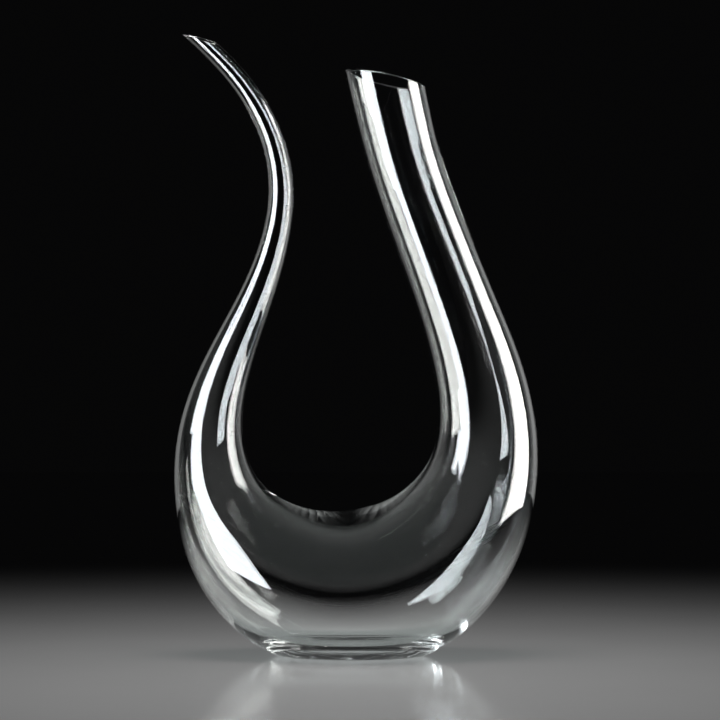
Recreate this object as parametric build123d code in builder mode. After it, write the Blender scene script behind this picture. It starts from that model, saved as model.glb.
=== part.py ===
from build123d import *

import os
from math import ceil, cos, exp, radians, sin

# Wine decanter of clear blown glass: a hollow U that is open at both ends.
#
# A slim pouring arm sweeps up on the -X side and ends in a slanted spout. A wide filling neck
# rises on the +X side and ends in a slanted mouth. Both grow out of one bowl, which is deeper
# than it is wide at the bottom of the U and flattened below into a thick foot with a shallow punt.
#
# The vessel is one continuous piece of glass. It is divided here into the sections that a
# glassmaker works one after another: the blown bowl with a limb at each side of it, the drawn
# pouring arm, the filling neck, the pressed foot and the two fire-polished lips. They lie face to
# face at their seams.
#
# Millimetres. +Z is up and the foot stands on Z = 0. Y = 0 is the plane of symmetry.

# Driving dimensions
HEIGHT = 350.0  # from the table to the highest point of the spout
SPOUT_RADIUS = 5.1
BELLY_RADIUS = 45.4  # half width in the plane of the U, at the bottom of the bend
BELLY_FLARE = 0.20  # how much deeper than wide the bowl is there
FLARE_POWER = 2  # the flare fades as the tube narrows, so the ends of both arms are round

# The middle line of the tube, with its half width in the plane of the U: (x, half width, z)
ABOVE_SPOUT = (-98.5, 4.8, 356.5)
ARM_ROOT = (-57.5, 9.8, 199.5)
POURING_BEND = (-77.5, 25.1, 89.0)
SADDLE = (-3.0, BELLY_RADIUS, 36.0)
FILLING_BEND = (72.0, 30.5, 106.0)
NECK_ROOT = (58.0, 22.1, 194.0)
ABOVE_MOUTH = (12.5, 21.4, 343.0)
STATIONS = [
    ABOVE_SPOUT,
    (-82.0, SPOUT_RADIUS, 341.5),
    (-62.5, 5.7, 319.5),
    (-48.0, 6.3, 292.0),
    (-42.5, 6.9, 262.0),
    (-46.5, 7.9, 231.5),
    ARM_ROOT,
    (-72.0, 13.2, 165.0),
    (-82.0, 18.2, 125.0),
    POURING_BEND,
    (-62.5, 34.3, 63.0),
    (-37.5, 41.8, 43.5),
    SADDLE,
    (30.0, 44.1, 45.5),
    (57.0, 38.0, 70.5),
    FILLING_BEND,
    (71.0, 25.6, 150.0),
    NECK_ROOT,
    (43.0, 20.7, 234.5),
    (28.0, 20.5, 277.0),
    (19.5, 21.2, 311.0),
    ABOVE_MOUTH,
]
SECTION_STEP = 10.0  # between two sections, along the middle line

# Thickness of the glass
WALL_SPOUT = 1.2
WALL_BOWL = 2.2
SADDLE_EXTRA = 4.0  # glass gathers on the inner side of the bend
SADDLE_REACH = 70.0  # along the middle line, each way

# The foot
FOOT_MIDDLE = -3.0
FOOT_HEIGHT = 4.5  # up to the floor of the bowl
FOOT_EDGE = 1.5
PUNT_RADIUS = 25.0
PUNT_DEPTH = 1.1

# The two slanted rims: the highest point (x, z), and the degrees that the rim falls towards +X
TIP_POLISH = 0.45  # polishing takes this off the height of the pointed tip
SPOUT_TIP = (-99.3, HEIGHT + TIP_POLISH)
SPOUT_FALL = 13.7
MOUTH_TIP = (-6.2, 329.7)
MOUTH_FALL = 11.9
LIP_HEIGHT = 2.4
SPOUT_ROUNDING = 0.45
MOUTH_ROUNDING = 0.65

with BuildLine() as middle:
    Spline(STATIONS)
middle_line = middle.line.edge()


def share_of(station):
    """How far along the middle line a station is, from 0 at the spout to 1 at the mouth."""
    return middle_line.param_at_point(station)


def wall_at(half_width):
    """The drawn ends are thinner than the bowl."""
    share = (half_width - SPOUT_RADIUS) / (BELLY_RADIUS - SPOUT_RADIUS)
    return WALL_BOWL - (WALL_BOWL - WALL_SPOUT) * (1 - share) ** 2


def section(share, hollow):
    """One section across the tube, with its x axis towards the inside of the U."""
    station = middle_line.position_at(share)
    heading = middle_line.tangent_at(share)
    place = Plane(
        origin=(station.X, 0, station.Z),
        x_dir=(-heading.Z, 0, heading.X),
        z_dir=(heading.X, 0, heading.Z),
    )
    half_width = station.Y
    half_depth = half_width * (1 + BELLY_FLARE * (half_width / BELLY_RADIUS) ** FLARE_POWER)
    wall = wall_at(half_width)
    from_saddle = (share - share_of(SADDLE)) * middle_line.length
    gather = SADDLE_EXTRA * exp(-((from_saddle / SADDLE_REACH) ** 2))
    with BuildSketch(place) as ring:
        Ellipse(half_width, half_depth)
        if hollow:
            with Locations((-gather / 2, 0)):
                Ellipse(half_width - wall - gather / 2, half_depth - wall, mode=Mode.SUBTRACT)
    return ring.sketch


def sections(first, last, hollow=True):
    """The sections from one station to another, for a loft."""
    start = share_of(first)
    stretch = share_of(last) - start
    count = ceil(stretch * middle_line.length / SECTION_STEP)
    return [section(start + stretch * step / count, hollow) for step in range(count + 1)]


def rim_plane(tip, fall):
    """The plane of a slanted rim, facing up."""
    slant = radians(fall)
    return Plane(
        origin=(tip[0], 0, tip[1]),
        x_dir=(cos(slant), 0, -sin(slant)),
        z_dir=(sin(slant), 0, cos(slant)),
    )


def rim_edges(lip, rim):
    """The two edges of a lip that lie in its rim."""
    return lip.edges().filter_by(lambda edge: abs(rim.to_local_coords(edge.center()).Z) < 0.01)


SPOUT_RIM = rim_plane(SPOUT_TIP, SPOUT_FALL)
SPOUT_JOINT = SPOUT_RIM.offset(-LIP_HEIGHT)
MOUTH_RIM = rim_plane(MOUTH_TIP, MOUTH_FALL)
MOUTH_JOINT = MOUTH_RIM.offset(-LIP_HEIGHT)
FLOOR = Plane.XY.offset(FOOT_HEIGHT)

# Fire-polished rim of the spout
with BuildPart() as pouring_lip:
    loft(sections(ABOVE_SPOUT, ARM_ROOT))
    split(bisect_by=SPOUT_RIM, keep=Keep.BOTTOM)
    split(bisect_by=SPOUT_JOINT, keep=Keep.TOP)
    fillet(rim_edges(pouring_lip, SPOUT_RIM), SPOUT_ROUNDING)
pouring_lip.part.label = "pouring_lip"

# Slim arm that the wine is poured through
with BuildPart() as pouring_arm:
    loft(sections(ABOVE_SPOUT, ARM_ROOT))
    split(bisect_by=SPOUT_JOINT, keep=Keep.BOTTOM)
pouring_arm.part.label = "pouring_arm"

# Tapering limb between the pouring arm and the bowl
with BuildPart() as pouring_limb:
    loft(sections(ARM_ROOT, POURING_BEND))
pouring_limb.part.label = "pouring_limb"

# Round bend that holds the wine, down to its floor
with BuildPart() as bowl:
    loft(sections(POURING_BEND, FILLING_BEND))
    split(bisect_by=FLOOR, keep=Keep.TOP)
bowl.part.label = "bowl"

# Wide limb between the bowl and the filling neck
with BuildPart() as filling_limb:
    loft(sections(FILLING_BEND, NECK_ROOT))
filling_limb.part.label = "filling_limb"

# Thick bottom, flat where it meets the table, with a shallow punt
with BuildPart() as foot:
    loft(sections(POURING_BEND, FILLING_BEND, hollow=False))
    split(bisect_by=FLOOR, keep=Keep.BOTTOM)
    split(bisect_by=Plane.XY, keep=Keep.TOP)
    fillet(foot.faces().filter_by(Axis.Z).sort_by(Axis.Z)[0].edges(), FOOT_EDGE)
    punt_sphere = (PUNT_RADIUS**2 + PUNT_DEPTH**2) / (2 * PUNT_DEPTH)
    with Locations((FOOT_MIDDLE, 0, PUNT_DEPTH - punt_sphere)):
        Sphere(punt_sphere, mode=Mode.SUBTRACT)
foot.part.label = "foot"

# Wide neck that the decanter is filled through
with BuildPart() as filling_neck:
    loft(sections(NECK_ROOT, ABOVE_MOUTH))
    split(bisect_by=MOUTH_JOINT, keep=Keep.BOTTOM)
filling_neck.part.label = "filling_neck"

# Fire-polished rim of the mouth
with BuildPart() as filling_lip:
    loft(sections(NECK_ROOT, ABOVE_MOUTH))
    split(bisect_by=MOUTH_RIM, keep=Keep.BOTTOM)
    split(bisect_by=MOUTH_JOINT, keep=Keep.TOP)
    fillet(rim_edges(filling_lip, MOUTH_RIM), MOUTH_ROUNDING)
filling_lip.part.label = "filling_lip"

os.makedirs("parts", exist_ok=True)
export_step(pouring_lip.part, "parts/pouring_lip.step")
export_step(pouring_arm.part, "parts/pouring_arm.step")
export_step(pouring_limb.part, "parts/pouring_limb.step")
export_step(bowl.part, "parts/bowl.step")
export_step(filling_limb.part, "parts/filling_limb.step")
export_step(foot.part, "parts/foot.step")
export_step(filling_neck.part, "parts/filling_neck.step")
export_step(filling_lip.part, "parts/filling_lip.step")
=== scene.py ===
from math import atan2, cos, hypot, pi, radians, sin

import bmesh
import bpy
import numpy as np
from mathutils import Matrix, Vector


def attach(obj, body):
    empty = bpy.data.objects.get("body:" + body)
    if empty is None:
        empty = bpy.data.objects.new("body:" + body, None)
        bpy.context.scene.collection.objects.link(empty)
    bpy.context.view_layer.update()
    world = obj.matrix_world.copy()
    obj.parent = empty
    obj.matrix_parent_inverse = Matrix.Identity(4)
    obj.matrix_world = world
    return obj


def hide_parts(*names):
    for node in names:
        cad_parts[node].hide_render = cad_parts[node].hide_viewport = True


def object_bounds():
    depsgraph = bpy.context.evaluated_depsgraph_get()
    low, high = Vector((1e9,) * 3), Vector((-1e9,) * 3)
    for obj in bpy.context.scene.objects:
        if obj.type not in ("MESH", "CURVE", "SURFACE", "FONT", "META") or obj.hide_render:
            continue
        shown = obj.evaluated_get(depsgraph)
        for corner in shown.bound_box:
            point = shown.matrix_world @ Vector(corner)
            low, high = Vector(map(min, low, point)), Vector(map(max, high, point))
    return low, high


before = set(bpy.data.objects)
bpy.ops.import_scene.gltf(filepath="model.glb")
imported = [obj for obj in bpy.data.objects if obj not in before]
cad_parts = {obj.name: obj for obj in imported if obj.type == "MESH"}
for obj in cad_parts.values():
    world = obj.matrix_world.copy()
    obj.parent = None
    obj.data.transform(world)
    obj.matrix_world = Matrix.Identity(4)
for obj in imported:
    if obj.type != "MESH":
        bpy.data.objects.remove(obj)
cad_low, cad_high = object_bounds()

# Wine decanter of clear blown glass. Each CAD node is replaced by a piece of glass with the same
# walls, apart from a dished floor and softer edges. All are drawn from one smooth surface, so that
# the light runs over the seams without a break.
# Shapes are worked out in millimetres and go to Blender in metres.
MM = 0.001

# The middle line of the tube, as in the CAD: (x, half width in the plane of the U, z). All rows but
# the first and the last are from a least-squares fit to the outline in the photograph, rounded, and
# four of their half widths were then changed by 0.1 mm.
STATIONS = np.array([
    (-98.5, 4.8, 356.5),
    (-82.0, 5.1, 341.5),
    (-62.5, 5.7, 319.5),
    (-48.0, 6.3, 292.0),
    (-42.5, 6.9, 262.0),
    (-46.5, 7.9, 231.5),
    (-57.5, 9.8, 199.5),
    (-72.0, 13.2, 165.0),
    (-82.0, 18.2, 125.0),
    (-77.5, 25.1, 89.0),
    (-62.5, 34.3, 63.0),
    (-37.5, 41.8, 43.5),
    (-3.0, 45.4, 36.0),
    (30.0, 44.1, 45.5),
    (57.0, 38.0, 70.5),
    (72.0, 30.5, 106.0),
    (71.0, 25.6, 150.0),
    (58.0, 22.1, 194.0),
    (43.0, 20.7, 234.5),
    (28.0, 20.5, 277.0),
    (19.5, 21.2, 311.0),
    (12.5, 21.4, 343.0),
])
# Stations where two pieces meet, or where the glass is thickest
ARM_ROOT, POURING_BEND, SADDLE, FILLING_BEND, NECK_ROOT = 6, 9, 12, 15, 17
ARM_TOP = 4  # a station well below the lip of the spout

HEIGHT = 350.0
SPOUT_RADIUS = 5.1
BELLY_RADIUS = 45.4
BELLY_FLARE = 0.20  # how much deeper than wide the bowl is
WALL_SPOUT = 1.2
WALL_BOWL = 2.2
SADDLE_EXTRA = 4.0  # glass gathers on the inner side of the bend
SADDLE_REACH = 70.0
FOOT_MIDDLE = -3.0
FOOT_HEIGHT = 4.5
FOOT_SOFTNESS = 1.0  # how far the foot's edge is rounded
FLOOR_SOFTNESS = 6.0  # how far the inner floor is dished
PUNT_RADIUS = 25.0
PUNT_DEPTH = 1.1
TIP_POLISH = 0.45
SPOUT_TIP, SPOUT_FALL = (-99.3, HEIGHT + TIP_POLISH), 13.7
MOUTH_TIP, MOUTH_FALL = (-6.2, 329.7), 11.9
LIP_HEIGHT = 2.4
SPOUT_ROUNDING = 0.55
MOUTH_ROUNDING = 0.8

RING_STEP = 1.6  # between two rings of points, along the tube
AROUND = 192  # points in a ring
RIM_STEPS = 14  # rings over a rounded rim
LIP_STEPS = 6  # rings up the straight part of a lip
ON_LINE_SAMPLES = 4001  # places where the length of the middle line is summed up
HALVINGS = 48  # of the stretch in which a face meets the plane of a rim
SMALL_STEP = 0.01  # along the middle line, for slopes
SMALL_TURN = 0.0005  # around the tube, for slopes


# --- The middle line: one smooth cubic through the stations, as the CAD draws it -------------
knots = np.r_[0, np.cumsum(np.linalg.norm(np.diff(STATIONS, axis=0), axis=1))]


def end_slope(at, used):
    """The slope at one station of the cubic through four."""
    steps = knots[used] - knots[at]
    return np.array([np.polyfit(steps, STATIONS[used, axis], 3)[2] for axis in range(3)])


def station_slopes():
    """The slope at every station that makes the whole line smooth."""
    count = len(knots)
    gap = np.diff(knots)
    system, right = np.zeros((count, count)), np.zeros((count, 3))
    system[0, 0] = system[-1, -1] = 1
    right[0] = end_slope(0, [0, 1, 2, 3])
    right[-1] = end_slope(count - 1, [count - 4, count - 3, count - 2, count - 1])
    for i in range(1, count - 1):
        before, after = STATIONS[i] - STATIONS[i - 1], STATIONS[i + 1] - STATIONS[i]
        system[i, i - 1 : i + 2] = gap[i], 2 * (gap[i - 1] + gap[i]), gap[i - 1]
        right[i] = 3 * (gap[i] * before / gap[i - 1] + gap[i - 1] * after / gap[i])
    return np.linalg.solve(system, right)


slopes = station_slopes()


def on_line(u):
    """Station and heading at u, for any array of u."""
    j = np.clip(np.searchsorted(knots, u, side="right") - 1, 0, len(knots) - 2)
    h = (knots[j + 1] - knots[j])[..., None]
    a = (u - knots[j])[..., None] / h
    p0, p1, m0, m1 = STATIONS[j], STATIONS[j + 1], slopes[j], slopes[j + 1]
    place = (2 * a**3 - 3 * a**2 + 1) * p0 + (a**3 - 2 * a**2 + a) * h * m0
    place += (3 * a**2 - 2 * a**3) * p1 + (a**3 - a**2) * h * m1
    heading = (6 * a**2 - 6 * a) * (p0 - p1) / h
    heading += (3 * a**2 - 4 * a + 1) * m0 + (3 * a**2 - 2 * a) * m1
    return place, heading


fine = np.linspace(0, knots[-1], ON_LINE_SAMPLES)
run = np.r_[0, np.cumsum(np.linalg.norm(np.diff(on_line(fine)[0], axis=0), axis=1))]
saddle_run = np.interp(knots[SADDLE], fine, run)


# --- The two faces of the glass --------------------------------------------------------------
def soft_floor(z, level, softness):
    """z, kept above a level with a smooth turn."""
    rise = z - level
    return level + (rise + np.sqrt(rise**2 + softness**2)) / 2


def glass(u, angle, inner):
    """Points of the outer or the inner face, at u along the tube and an angle around it."""
    place, heading = on_line(u)
    x, half_width, z = place[..., 0], place[..., 1], place[..., 2]
    length = np.hypot(heading[..., 0], heading[..., 2])
    nx, nz = -heading[..., 2] / length, heading[..., 0] / length
    half_depth = half_width * (1 + BELLY_FLARE * (half_width / BELLY_RADIUS) ** 2)
    shift = 0.0
    if inner:
        share = (half_width - SPOUT_RADIUS) / (BELLY_RADIUS - SPOUT_RADIUS)
        wall = WALL_BOWL - (WALL_BOWL - WALL_SPOUT) * (1 - share) ** 2
        away = np.interp(u, fine, run) - saddle_run
        gather = SADDLE_EXTRA * np.exp(-((away / SADDLE_REACH) ** 2))
        shift = -gather / 2
        half_width = half_width - wall - gather / 2
        half_depth = half_depth - wall
    across = half_width * np.cos(angle) + shift
    px, py, pz = x + nx * across, half_depth * np.sin(angle), z + nz * across
    if inner:
        return np.stack([px, py, soft_floor(pz, FOOT_HEIGHT, FLOOR_SOFTNESS)], -1)
    from_middle = np.hypot(px - FOOT_MIDDLE, py)
    under = np.clip(1 - pz / FOOT_HEIGHT, 0, 1)
    punt = PUNT_DEPTH * np.clip(1 - (from_middle / PUNT_RADIUS) ** 2, 0, 1) ** 1.5 * under
    return np.stack([px, py, soft_floor(pz, 0.0, FOOT_SOFTNESS) + punt], -1)


def facing(u, angle, inner):
    """Unit normals of a face of the glass, pointing out of the glass."""
    along = glass(u + SMALL_STEP, angle, inner) - glass(u - SMALL_STEP, angle, inner)
    around = glass(u, angle + SMALL_TURN, inner) - glass(u, angle - SMALL_TURN, inner)
    normal = np.cross(along, around)
    normal /= np.linalg.norm(normal, axis=-1, keepdims=True)
    return -normal if inner else normal


TURN = np.arange(AROUND) * 2 * pi / AROUND


def band(first, last, inner):
    """Rings of one face between two places on the middle line: points and normals."""
    count = max(2, int(np.ceil((last - first) / RING_STEP)))
    u, angle = np.meshgrid(np.linspace(first, last, count + 1), TURN, indexing="ij")
    return glass(u, angle, inner), facing(u, angle, inner)


# --- Rings joined into closed pieces ---------------------------------------------------------
def closed_piece(name, bands):
    """A closed mesh from bands of rings in order, each with a flag that says it ends in a seam."""
    points = np.concatenate([p for p, n, seam in bands])
    normals = np.concatenate([n for p, n, seam in bands])
    rings = len(points)
    seam_after = np.zeros(rings, bool)
    at = -1
    for p, n, seam in bands:
        at += len(p)
        seam_after[at] = seam
    here = np.arange(rings)[:, None] * AROUND + np.arange(AROUND)[None, :]
    beside = np.roll(here, -1, axis=1)
    up, up_beside = np.roll(here, -1, axis=0), np.roll(beside, -1, axis=0)
    quads = np.stack([here, beside, up_beside, up], -1).reshape(-1, 4)
    slots = np.repeat(seam_after.astype(int), AROUND)
    return mesh_of(name, points.reshape(-1, 3), normals.reshape(-1, 3), quads, slots)


def mesh_of(name, points, normals, quads, slots):
    """A mesh with its faces turned outwards, which carries its normals and its place around."""
    a, b, c, d = (points[quads[:, k]] for k in range(4))
    volume = np.einsum("ij,ij->", a, np.cross(b, c)) + np.einsum("ij,ij->", a, np.cross(c, d))
    if volume < 0:
        quads = quads[:, ::-1]
    mesh = bpy.data.meshes.new(name)
    mesh.from_pydata((points * MM).tolist(), [], quads.tolist())
    mesh.polygons.foreach_set("material_index", slots.astype(np.int32))
    mesh.polygons.foreach_set("use_smooth", np.ones(len(quads), bool))
    layer = mesh.attributes.new("glass_normal", "FLOAT_VECTOR", "POINT")
    layer.data.foreach_set("vector", normals.astype(np.float32).ravel())
    around = np.stack([np.cos(TURN), np.sin(TURN), np.zeros(AROUND)], -1).astype(np.float32)
    layer = mesh.attributes.new("around_tube", "FLOAT_VECTOR", "POINT")
    layer.data.foreach_set("vector", np.tile(around, (len(points) // AROUND, 1)).ravel())
    return mesh


def finished(name, mesh):
    """The object of a piece, shaded by the normals of the smooth surface."""
    count = len(mesh.vertices)
    normals = np.zeros(count * 3, np.float32)
    mesh.attributes["glass_normal"].data.foreach_get("vector", normals)
    normals = normals.reshape(-1, 3)
    normals /= np.maximum(np.linalg.norm(normals, axis=1, keepdims=True), 1e-9)
    mesh.attributes.remove(mesh.attributes["glass_normal"])
    mesh.normals_split_custom_set_from_vertices(normals.tolist())
    mesh.materials.append(clear_glass)
    mesh.materials.append(seam)
    piece = bpy.data.objects.new(name, mesh)
    bpy.context.scene.collection.objects.link(piece)
    return piece


def walled(name, outer, inner):
    """A closed mesh from its outer and its inner band, with a seam at each end."""
    turned_back = [rings[::-1] for rings in inner]
    return closed_piece(name, [(*outer, True), (*turned_back, True)])


def tube_piece(name, first, last):
    """A stretch of the tube, with a seam at each end."""
    mesh = walled(name, band(first, last, False), band(first, last, True))
    return finished(name, mesh)


def cut_piece(name, mesh, level, keep_above):
    """The part of a closed mesh on one side of a level, closed there with a seam."""
    bm = bmesh.new()
    bm.from_mesh(mesh)
    layer = bm.verts.layers.float_vector["glass_normal"]
    everything = bm.verts[:] + bm.edges[:] + bm.faces[:]
    made = bmesh.ops.bisect_plane(
        bm,
        geom=everything,
        plane_co=(0, 0, level * MM),
        plane_no=(0, 0, 1),
        clear_inner=keep_above,
        clear_outer=not keep_above,
    )
    rim = [e for e in made["geom_cut"] if isinstance(e, bmesh.types.BMEdge)]
    filled = bmesh.ops.contextual_create(bm, geom=rim)["faces"]
    middle = bmesh.ops.poke(bm, faces=filled)
    for face in middle["faces"]:
        face.material_index = 1
        face.smooth = True
    for vertex in middle["verts"]:
        vertex[layer] = Vector((0, 0, -1 if keep_above else 1))
    bmesh.ops.recalc_face_normals(bm, faces=bm.faces[:])
    cut = bpy.data.meshes.new(name)
    bm.to_mesh(cut)
    bm.free()
    return finished(name, cut)


# --- The slanted rims ------------------------------------------------------------------------
def on_plane(tip, fall, below, start, stop, inner):
    """For each angle, the u where a face of the glass meets the plane that far below the rim."""
    slant = radians(fall)
    up = np.array([sin(slant), 0, cos(slant)])
    corner = np.array([tip[0], 0, tip[1]])
    low, high = np.full(AROUND, float(start)), np.full(AROUND, float(stop))
    for _ in range(HALVINGS):
        halfway = (low + high) / 2
        beyond = (glass(halfway, TURN, inner) - corner) @ up + below > 0
        high = np.where(beyond, halfway, high)
        low = np.where(beyond, low, halfway)
    return (low + high) / 2


def rim_bands(tip, fall, rounding, joint, inside, outside):
    """The rings of a lip: up the outer face from the joint, over the rim and down inside."""
    slant = radians(fall)
    up = np.array([sin(slant), 0, cos(slant)])
    steps = np.linspace(joint, rounding, LIP_STEPS)
    faces = []
    for inner in (False, True):
        u = np.stack([on_plane(tip, fall, below, inside, outside, inner) for below in steps])
        angle = np.broadcast_to(TURN, u.shape)
        faces.append((u, glass(u, angle, inner), facing(u, angle, inner)))
    (outer_u, outer, outer_normals), (inner_u, inner, inner_normals) = faces
    way = np.sign(outside - inside) * SMALL_STEP
    rises = []
    for u, inner_face in ((outer_u[-1], False), (inner_u[-1], True)):
        ahead = glass(u + way, TURN, inner_face) - glass(u, TURN, inner_face)
        rises.append(ahead / (ahead @ up)[:, None])
    turn = np.linspace(0, pi, RIM_STEPS + 1)[1:-1]
    share = (1 - np.cos(turn))[:, None, None] / 2
    rise = rises[0] * (1 - share) + rises[1] * share
    rim = outer[-1] * (1 - share) + inner[-1] * share
    rim += rise * rounding * np.sin(turn)[:, None, None]
    sheet = np.concatenate([outer[-1:], rim, inner[-1:]])
    around = np.roll(sheet, -1, axis=1) - np.roll(sheet, 1, axis=1)
    normals = np.cross(around, np.gradient(sheet, axis=0))
    normals /= np.linalg.norm(normals, axis=-1, keepdims=True)
    normals *= np.sign(np.sum(normals[0] * outer_normals[-1]))
    return [
        (outer, outer_normals, False),
        (rim, normals[1:-1], False),
        (inner[::-1], inner_normals[::-1], True),
    ]


def lip_piece(name, tip, fall, rounding, inside, outside):
    """A fire-polished lip, from its rim down to the seam under it."""
    bands = rim_bands(tip, fall, rounding, LIP_HEIGHT, inside, outside)
    return finished(name, closed_piece(name, bands))


def arm_piece(name, tip, fall, inside, outside, root):
    """A stretch of the tube from a seam across it to the slanted seam under a lip."""
    bands = []
    for inner in (False, True):
        end = on_plane(tip, fall, LIP_HEIGHT, inside, outside, inner)
        count = int(np.ceil(abs(end.mean() - root) / RING_STEP))
        share = np.linspace(0, 1, count + 1)[:, None]
        u = root * (1 - share) + end[None, :] * share
        angle = np.broadcast_to(TURN, u.shape)
        bands.append((glass(u, angle, inner), facing(u, angle, inner)))
    return finished(name, walled(name, *bands))


# --- Materials -------------------------------------------------------------------------------
GLASS_INDEX = 1.5
FACE_TINT = (0.985, 0.992, 0.99, 1)
EDGE_TINT = (0.86, 0.93, 0.90, 1)  # faintly green, where one looks along the wall
EDGE_BLEND = 0.35
LAMP_TINT = (0.93, 0.94, 0.94, 1)  # what the glass lets through towards a lamp
STREAKS = 4.0  # noise cells across the radius of the tube
STREAK_DRIFT = 7.0  # noise cells in a metre along the tube
STREAK_DEPTH = 0.000008
SWELL_SCALE = 22.0  # noise cells in a metre
SWELL_DEPTH = 0.00008


def node(tree, kind, **values):
    """A new node, with its own settings."""
    made = tree.nodes.new(kind)
    for key, value in values.items():
        setattr(made, key, value)
    return made


def make_glass():
    """Clear glass that refracts, with a green edge, drawn streaks and slow swells."""
    material = bpy.data.materials.new("clear_glass")
    material.use_nodes = True
    tree = material.node_tree
    tree.nodes.clear()
    link = tree.links.new
    out = node(tree, "ShaderNodeOutputMaterial")
    body = node(tree, "ShaderNodeBsdfPrincipled")
    body.inputs["Transmission Weight"].default_value = 1.0
    body.inputs["Roughness"].default_value = 0.0
    body.inputs["IOR"].default_value = GLASS_INDEX
    edge = node(tree, "ShaderNodeLayerWeight")
    edge.inputs["Blend"].default_value = EDGE_BLEND
    tint = node(tree, "ShaderNodeMix", data_type="RGBA")
    tint.inputs["A"].default_value = FACE_TINT
    tint.inputs["B"].default_value = EDGE_TINT
    link(edge.outputs["Facing"], tint.inputs["Factor"])
    link(tint.outputs["Result"], body.inputs["Base Color"])

    # Blown glass is never quite even: fine streaks run along the tube, where it was drawn out,
    # and the wall swells a little here and there.
    place = node(tree, "ShaderNodeTexCoord")
    round_tube = node(tree, "ShaderNodeAttribute", attribute_name="around_tube")
    streak_place = node(tree, "ShaderNodeVectorMath", operation="MULTIPLY_ADD")
    streak_place.inputs[1].default_value = (STREAKS, STREAKS, 0)
    link(round_tube.outputs["Vector"], streak_place.inputs[0])
    drift = node(tree, "ShaderNodeVectorMath", operation="SCALE")
    drift.inputs["Scale"].default_value = STREAK_DRIFT
    link(place.outputs["Object"], drift.inputs[0])
    link(drift.outputs[0], streak_place.inputs[2])
    streaks = node(tree, "ShaderNodeTexNoise")
    streaks.inputs["Scale"].default_value = 1.0
    streaks.inputs["Detail"].default_value = 1.0
    link(streak_place.outputs[0], streaks.inputs["Vector"])
    swell = node(tree, "ShaderNodeTexNoise")
    swell.inputs["Scale"].default_value = SWELL_SCALE
    swell.inputs["Detail"].default_value = 0.0
    link(place.outputs["Object"], swell.inputs["Vector"])
    fine_bump = node(tree, "ShaderNodeBump")
    fine_bump.inputs["Distance"].default_value = STREAK_DEPTH
    link(streaks.outputs["Fac"], fine_bump.inputs["Height"])
    slow_bump = node(tree, "ShaderNodeBump")
    slow_bump.inputs["Distance"].default_value = SWELL_DEPTH
    link(swell.outputs["Fac"], slow_bump.inputs["Height"])
    link(fine_bump.outputs["Normal"], slow_bump.inputs["Normal"])
    link(slow_bump.outputs["Normal"], body.inputs["Normal"])

    # Light on its way to a lamp goes straight through, so the glass throws no black shadow.
    lamps = node(tree, "ShaderNodeBsdfTransparent")
    lamps.inputs["Color"].default_value = LAMP_TINT
    path = node(tree, "ShaderNodeLightPath")
    mix = node(tree, "ShaderNodeMixShader")
    link(path.outputs["Is Shadow Ray"], mix.inputs[0])
    link(body.outputs[0], mix.inputs[1])
    link(lamps.outputs[0], mix.inputs[2])
    link(mix.outputs[0], out.inputs["Surface"])
    return material


def make_seam():
    """Nothing to see where two pieces of the one glass meet."""
    material = bpy.data.materials.new("seam")
    material.use_nodes = True
    tree = material.node_tree
    tree.nodes.clear()
    out = node(tree, "ShaderNodeOutputMaterial")
    clear = node(tree, "ShaderNodeBsdfTransparent")
    tree.links.new(clear.outputs[0], out.inputs["Surface"])
    return material


clear_glass = make_glass()
seam = make_seam()

# --- The pieces ------------------------------------------------------------------------------
start, end = 0.0, knots[-1]
arm_top, arm_root, pouring_bend = knots[ARM_TOP], knots[ARM_ROOT], knots[POURING_BEND]
filling_bend, neck_root = knots[FILLING_BEND], knots[NECK_ROOT]
spout, mouth = (SPOUT_TIP, SPOUT_FALL), (MOUTH_TIP, MOUTH_FALL)

# The bowl and the foot are one band of rings, cut at the floor of the bowl.
bend = pouring_bend, filling_bend
whole_bowl = walled("whole_bowl", band(*bend, False), band(*bend, True))

built = {
    "pouring_lip": lip_piece("glass_pouring_lip", *spout, SPOUT_ROUNDING, arm_top, start),
    "pouring_arm": arm_piece("glass_pouring_arm", *spout, arm_top, start, arm_root),
    "pouring_limb": tube_piece("glass_pouring_limb", arm_root, pouring_bend),
    "bowl": cut_piece("glass_bowl", whole_bowl, FOOT_HEIGHT, True),
    "foot": cut_piece("glass_foot", whole_bowl, FOOT_HEIGHT, False),
    "filling_limb": tube_piece("glass_filling_limb", filling_bend, neck_root),
    "filling_neck": arm_piece("glass_filling_neck", *mouth, neck_root, end, neck_root),
    "filling_lip": lip_piece("glass_filling_lip", *mouth, MOUTH_ROUNDING, neck_root, end),
}
bpy.data.meshes.remove(whole_bowl)
for cad_node, piece in built.items():
    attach(piece, "root")
    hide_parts(cad_node)

# --- Studio, in metres -----------------------------------------------------------------------
FLOOR_SIZE = 6.0
FLOOR_GAP = 0.0002  # below the foot
FLOOR_COLOUR = (0.6, 0.6, 0.6, 1)
FLOOR_GLOSS = 0.09, 0.15  # roughness, from the smoothest to the roughest places
COOL, WHITE, WARM = (0.90, 0.95, 1.0), (1.0, 1.0, 1.0), (1.0, 0.99, 0.975)
KEY_LEFT, KEY_RIGHT = 17.0, 13.0  # glow of the softboxes that make the bright bands
OVERHEAD_HEIGHT, OVERHEAD_SIZE, OVERHEAD_GLOW = 0.75, 0.4, 3.2
OVERHEAD_SPREAD = 100  # degrees
SURROUNDINGS = (0.002, 0.002, 0.0021, 1)
GLASS_BOUNCES = 80  # with fewer, the thick glass of the bend turns black in places
CLEAR_BOUNCES = 64

middle = (cad_low + cad_high) / 2

# The softboxes light only the glass, so that they leave no glare on the floor.
lit_glass = bpy.data.collections.new("lit_glass")
for piece in built.values():
    lit_glass.objects.link(piece)


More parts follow.
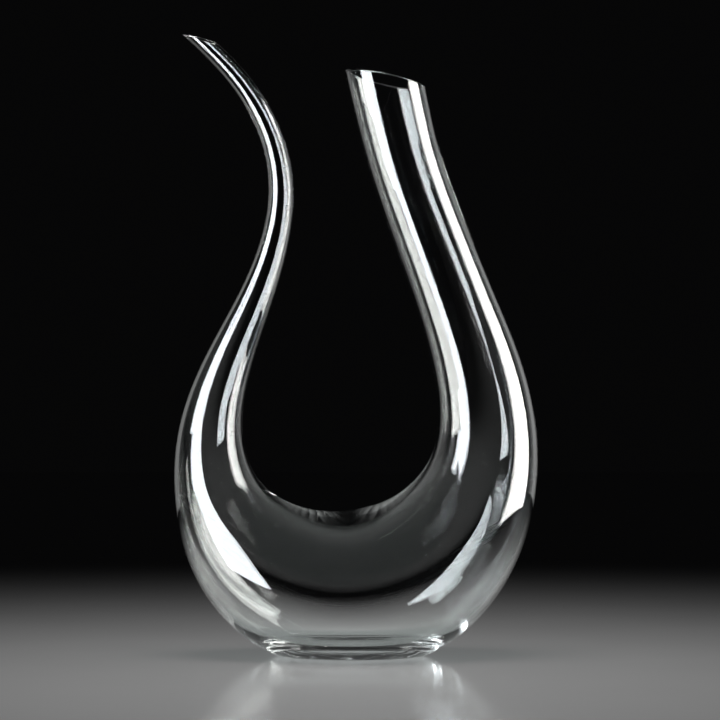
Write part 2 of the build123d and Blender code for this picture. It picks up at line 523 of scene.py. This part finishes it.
def make_floor():
    """A pale floor with a soft gloss that is a little uneven."""
    size, level = FLOOR_SIZE, cad_low.z - FLOOR_GAP
    corners = [(-size, -size), (size, -size), (size, size), (-size, size)]
    mesh = bpy.data.meshes.new("floor")
    mesh.from_pydata([(x, y, level) for x, y in corners], [], [(0, 1, 2, 3)])
    material = bpy.data.materials.new("floor")
    material.use_nodes = True
    tree = material.node_tree
    paint = tree.nodes["Principled BSDF"]
    paint.inputs["Base Color"].default_value = FLOOR_COLOUR
    place = node(tree, "ShaderNodeTexCoord")
    wear = node(tree, "ShaderNodeTexNoise")
    wear.inputs["Scale"].default_value = 9.0
    wear.inputs["Detail"].default_value = 4.0
    tree.links.new(place.outputs["Object"], wear.inputs["Vector"])
    gloss = node(tree, "ShaderNodeMapRange")
    gloss.inputs["To Min"].default_value, gloss.inputs["To Max"].default_value = FLOOR_GLOSS
    tree.links.new(wear.outputs["Fac"], gloss.inputs["Value"])
    tree.links.new(gloss.outputs["Result"], paint.inputs["Roughness"])
    mesh.materials.append(material)
    floor = bpy.data.objects.new("floor", mesh)
    bpy.context.scene.collection.objects.link(floor)


def softbox(name, near, far, bottom, top, glow, colour):
    """An upright softbox over the line between two places, facing the glass."""
    width, height = hypot(far[0] - near[0], far[1] - near[1]), top - bottom
    light = bpy.data.lights.new(name, "AREA")
    light.shape = "RECTANGLE"
    light.size, light.size_y = width, height
    light.energy = glow * pi * width * height
    light.color = colour
    lamp = bpy.data.objects.new(name, light)
    x, y = (near[0] + far[0]) / 2, (near[1] + far[1]) / 2
    lamp.location = (x, y, (bottom + top) / 2)
    across = atan2(far[1] - near[1], far[0] - near[0])
    if x * sin(across) < y * cos(across):  # it would face away from the glass
        across += pi
    lamp.rotation_euler = (radians(90), 0, across)
    lamp.light_linking.receiver_collection = lit_glass
    bpy.context.scene.collection.objects.link(lamp)


def overhead():
    """A soft light from above for the floor."""
    light = bpy.data.lights.new("overhead", "AREA")
    light.size = OVERHEAD_SIZE
    light.spread = radians(OVERHEAD_SPREAD)
    light.energy = OVERHEAD_GLOW * pi * OVERHEAD_SIZE * OVERHEAD_SIZE
    lamp = bpy.data.objects.new("overhead", light)
    lamp.location = (middle.x, -0.1, OVERHEAD_HEIGHT)
    lamp.visible_glossy = False
    lamp.visible_transmission = False
    bpy.context.scene.collection.objects.link(lamp)


make_floor()
# The bright bands: a cool softbox on the left, with two steps at its far edge, and a warm one on
# the right. The two large ones stand where the photograph's bands lead back to; the steps are
# given.
softbox("left_softbox", (-0.228, -0.272), (-0.44, -0.23), 0.0, 0.42, KEY_LEFT, COOL)
softbox("left_upper_softbox", (-0.44, -0.23), (-0.465, -0.184), 0.15, 0.52, KEY_LEFT, COOL)
softbox("left_high_softbox", (-0.465, -0.184), (-0.50, -0.12), 0.24, 0.52, KEY_LEFT, COOL)
softbox("right_softbox", (0.773, -0.293), (0.627, 0.177), 0.0, 0.9, KEY_RIGHT, WARM)
# The thin lines along the silhouette
softbox("left_rim_light", (-0.85, 0.40), (-0.45, 0.85), 0.0, 0.9, 0.18, WHITE)
softbox("right_rim_light", (0.85, 0.45), (0.45, 0.85), 0.0, 0.9, 0.25, WHITE)
overhead()

world = bpy.data.worlds.new("studio")
world.use_nodes = True
world.node_tree.nodes["Background"].inputs["Color"].default_value = SURROUNDINGS
bpy.context.scene.world = world

# A side view from a little below the middle of the decanter, as the photograph seems to be taken.
# The distance and height are estimates. The lens and the aim then follow from how large the
# decanter is in the photograph, and where it lies in it.
eye = Vector((0.0021, -1.3, 0.125))
target = Vector((0.0021, 0.0, 0.1659))
camera = bpy.data.cameras.new("camera")
camera.lens = 115.4
camera.sensor_width = 36.0
camera.clip_start = 0.05
view = bpy.data.objects.new("camera", camera)
view.location = eye
view.rotation_euler = (target - eye).to_track_quat("-Z", "Y").to_euler()
bpy.context.scene.collection.objects.link(view)
bpy.context.scene.camera = view

scene = bpy.context.scene
scene.view_settings.view_transform = "Standard"
scene.view_settings.look = "None"
scene.cycles.use_denoising = True
scene.cycles.max_bounces = GLASS_BOUNCES
scene.cycles.transmission_bounces = GLASS_BOUNCES
scene.cycles.glossy_bounces = GLASS_BOUNCES
scene.cycles.transparent_max_bounces = CLEAR_BOUNCES
scene.cycles.caustics_reflective = False
scene.cycles.caustics_refractive = False
